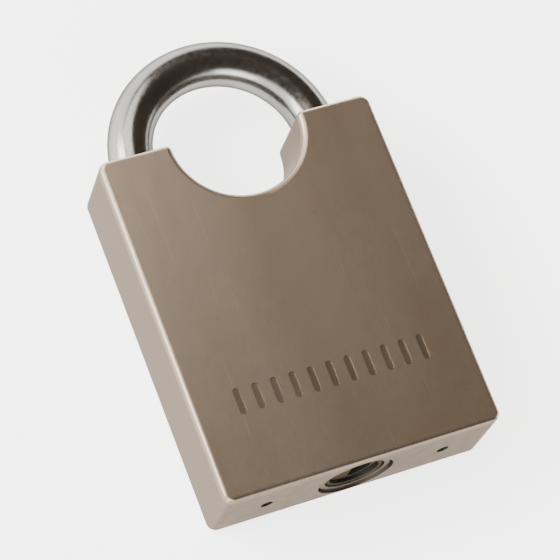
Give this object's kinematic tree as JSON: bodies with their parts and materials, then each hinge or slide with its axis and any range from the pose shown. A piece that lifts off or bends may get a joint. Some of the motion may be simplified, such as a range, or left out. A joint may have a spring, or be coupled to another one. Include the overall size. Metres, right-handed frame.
{
  "type": "disc padlock",
  "caption": "Rectangular padlock with a round sliding shackle, a disc-detainer key cylinder in its bottom edge and a crown drive that turns the shackle.",
  "frame": {"origin": "centre of the case's back face, which the lock rests on", "axes": "+X right as seen from the front, +Y towards the shackle, +Z out of the front face"},
  "size_m": [0.06, 0.0991, 0.02],
  "materials": {
    "case_steel": "satin nickel plate, fine grain",
    "cover_steel": "satin nickel plate",
    "block_zinc": "as-cast block, machined bores",
    "shackle_steel": "polished chrome plate",
    "cylinder_steel": "turned, nickel plated",
    "core_steel": "turned hardened steel",
    "disc_brass": "stamped brass",
    "hardware_steel": "zinc plated",
    "spring_steel": "drawn wire"
  },
  "bodies": {
    "lock": {"case_body": "case_steel", "rear_cover": "cover_steel", "cover_rivets": "cover_steel", "inner_block_front": "block_zinc", "inner_block_rear": "block_zinc", "block_screws": "hardware_steel", "retaining_pins": "hardware_steel", "cylinder_barrel": "cylinder_steel", "cylinder_pins": "hardware_steel"},
    "core": {"core": "core_steel", "guard_disc": "core_steel", "disc_1": "disc_brass", "disc_2": "disc_brass", "disc_3": "disc_brass", "disc_4": "disc_brass", "disc_5": "disc_brass", "disc_6": "disc_brass", "disc_7": "disc_brass", "disc_8": "disc_brass", "disc_9": "disc_brass", "disc_spacers": "disc_brass", "end_washer": "disc_brass", "sidebar": "hardware_steel", "sidebar_springs": "spring_steel", "thrust_washer": "hardware_steel", "core_clip": "hardware_steel", "drive_crown": "hardware_steel", "crown_pins": "hardware_steel", "crown_screw": "hardware_steel"},
    "shackle": {"shackle": "shackle_steel"}
  },
  "joints": [
    {"name": "core_turn", "type": "hinge", "parent": "lock", "child": "core", "pos_m": [0, 0, 0.01], "axis": [0, 1, 0], "range_deg": [0, 270]},
    {"name": "shackle_slide", "type": "hinge", "parent": "lock", "child": "shackle", "pos_m": [0, 0.03665, 0.01], "axis": [0, 0, 1], "range_deg": [0, 54]}
  ],
  "couplings": [
    {"joint": "shackle_slide", "follows": "core_turn", "ratio": 0.2}
  ]
}
